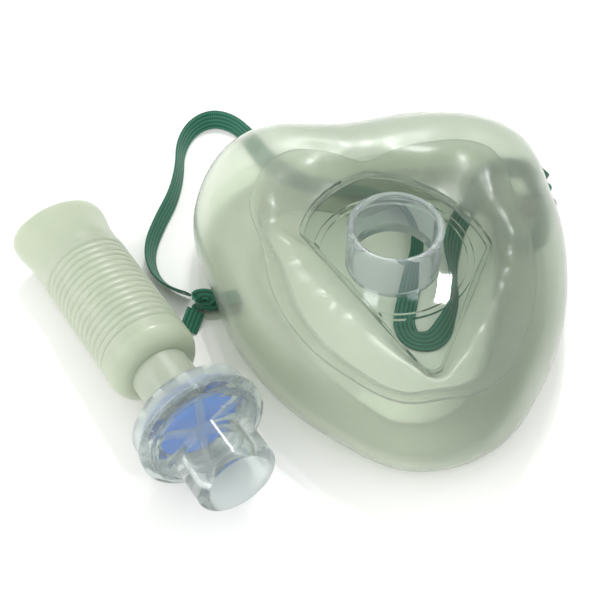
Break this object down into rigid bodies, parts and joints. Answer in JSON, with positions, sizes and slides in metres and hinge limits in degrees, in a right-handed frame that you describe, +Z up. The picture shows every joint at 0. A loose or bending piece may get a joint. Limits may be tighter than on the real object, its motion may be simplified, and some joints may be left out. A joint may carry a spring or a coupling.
{
  "type": "mouth-to-mask resuscitator",
  "caption": "Inflatable clear face mask with an upright port and elastic head strap, beside its one-way valve with a blue flap and a ringed mouthpiece tube.",
  "frame": {"origin": "foot of the mask port's axis on the surface the mask rests on", "axes": "+Z up along the port, -Y towards the nose end of the mask, +X to the mask's right seen from above"},
  "size_m": [0.17, 0.1553, 0.0424],
  "materials": {
    "cushion_film": "frosted soft film",
    "clear_plate": "clear polished",
    "clear_port": "clear polished",
    "green_elastic": "ribbed knit",
    "valve_clear": "clear polished",
    "blue_flap": "satin silicone",
    "milky_plastic": "milky translucent"
  },
  "bodies": {
    "mask": {"face_cushion": "cushion_film", "dome_film": "cushion_film", "mask_plate": "clear_plate", "port_collar": "clear_port", "head_strap": "green_elastic", "strap_knot_left": "green_elastic", "strap_knot_right": "green_elastic", "strap_tab_left": "cushion_film", "strap_tab_right": "cushion_film", "strap_tail_left": "green_elastic", "strap_tail_right": "green_elastic"},
    "mouthpiece": {"mouthpiece_tube": "milky_plastic"},
    "lip": {"mouthpiece_lip": "milky_plastic"},
    "valve": {"inlet_housing": "valve_clear", "outlet_housing": "valve_clear", "valve_seat": "valve_clear", "diaphragm_guard": "valve_clear"},
    "inhale": {"inhale_flap": "blue_flap"},
    "exhale": {"exhale_flap": "blue_flap"}
  },
  "joints": [
    {"name": "assembly_lift", "type": "slide", "parent": "mask", "child": "mouthpiece", "axis": [0, 0, 1], "range_m": [0, 0.06]},
    {"name": "valve_swivel", "type": "hinge", "parent": "mouthpiece", "child": "valve", "pos_m": [-0.0633, -0.025, 0.0165], "axis": [0.4057, -0.9113, 0.0704], "continuous": true},
    {"name": "lip_pull", "type": "slide", "parent": "mouthpiece", "child": "lip", "axis": [-0.4057, 0.9113, -0.0704], "range_m": [0, 0.012]},
    {"name": "inhale_lift", "type": "slide", "parent": "valve", "child": "inhale", "axis": [0.4057, -0.9113, 0.0704], "range_m": [0, 0.0012], "stiffness_N_per_m": 10},
    {"name": "exhale_lift", "type": "slide", "parent": "valve", "child": "exhale", "axis": [-0.4057, 0.9113, -0.0704], "range_m": [0, 0.0012], "stiffness_N_per_m": 10}
  ]
}
